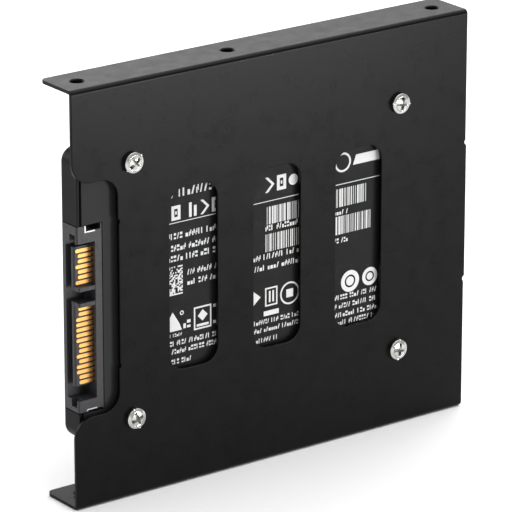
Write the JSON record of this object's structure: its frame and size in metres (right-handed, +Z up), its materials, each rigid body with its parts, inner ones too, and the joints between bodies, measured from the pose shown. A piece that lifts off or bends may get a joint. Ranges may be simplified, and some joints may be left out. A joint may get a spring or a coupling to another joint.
{
  "type": "solid state drive",
  "caption": "Flat 2.5 inch solid state drive screwed behind a black sheet-steel adapter plate with folded flanges for a 3.5 inch bay; plug in an open notch at one end.",
  "frame": {"origin": "centre of the footprint, on the surface the unit stands on (underside of the lower flange)", "axes": "+X along the plate away from the plug end, +Y from the plate's front face towards the drive, +Z up through the plate's height"},
  "size_m": [0.1136, 0.0142, 0.1004],
  "materials": {
    "bracket_paint": "satin black powder paint on steel sheet",
    "screw_plating": "bright nickel plating",
    "case_metal": "fine-blasted black anodised casting",
    "cover_metal": "satin black finish",
    "inner_steel": "zinc plated",
    "label_film": "matt polyester film, printed",
    "plug_plastic": "glass-filled liquid crystal polymer",
    "contact_gold": "gold over nickel",
    "clip_metal": "tin plated",
    "board_laminate": "solder mask over glass epoxy",
    "chip_epoxy": "moulded epoxy",
    "pad_silicone": "soft silicone gap pad",
    "fuse_ceramic": "ceramic body",
    "inductor_ferrite": "pressed ferrite",
    "capacitor_resin": "moulded tantalum body",
    "crystal_can": "nickel lid",
    "capacitor_ceramic": "fired ceramic",
    "resistor_film": "glazed film"
  },
  "bodies": {
    "root": {"mounting_bracket": "bracket_paint", "bracket_screws": "screw_plating", "top_shell": "case_metal", "base_cover": "cover_metal", "case_screws": "inner_steel", "product_label": "label_film", "connector_housing": "plug_plastic", "signal_contacts": "contact_gold", "power_contacts": "contact_gold", "connector_hold_downs": "clip_metal", "circuit_board": "board_laminate", "board_screws": "inner_steel", "controller_chip": "chip_epoxy", "cache_memory_chip": "chip_epoxy", "flash_memory_a": "chip_epoxy", "flash_memory_b": "chip_epoxy", "thermal_pad_controller": "pad_silicone", "thermal_pads_memory": "pad_silicone", "power_management_chip": "chip_epoxy", "surge_suppressor": "chip_epoxy", "input_fuse": "fuse_ceramic", "power_inductors": "inductor_ferrite", "bulk_capacitors": "capacitor_resin", "clock_crystal": "crystal_can", "ceramic_capacitors": "capacitor_ceramic", "chip_resistors": "resistor_film"}
  },
  "joints": []
}
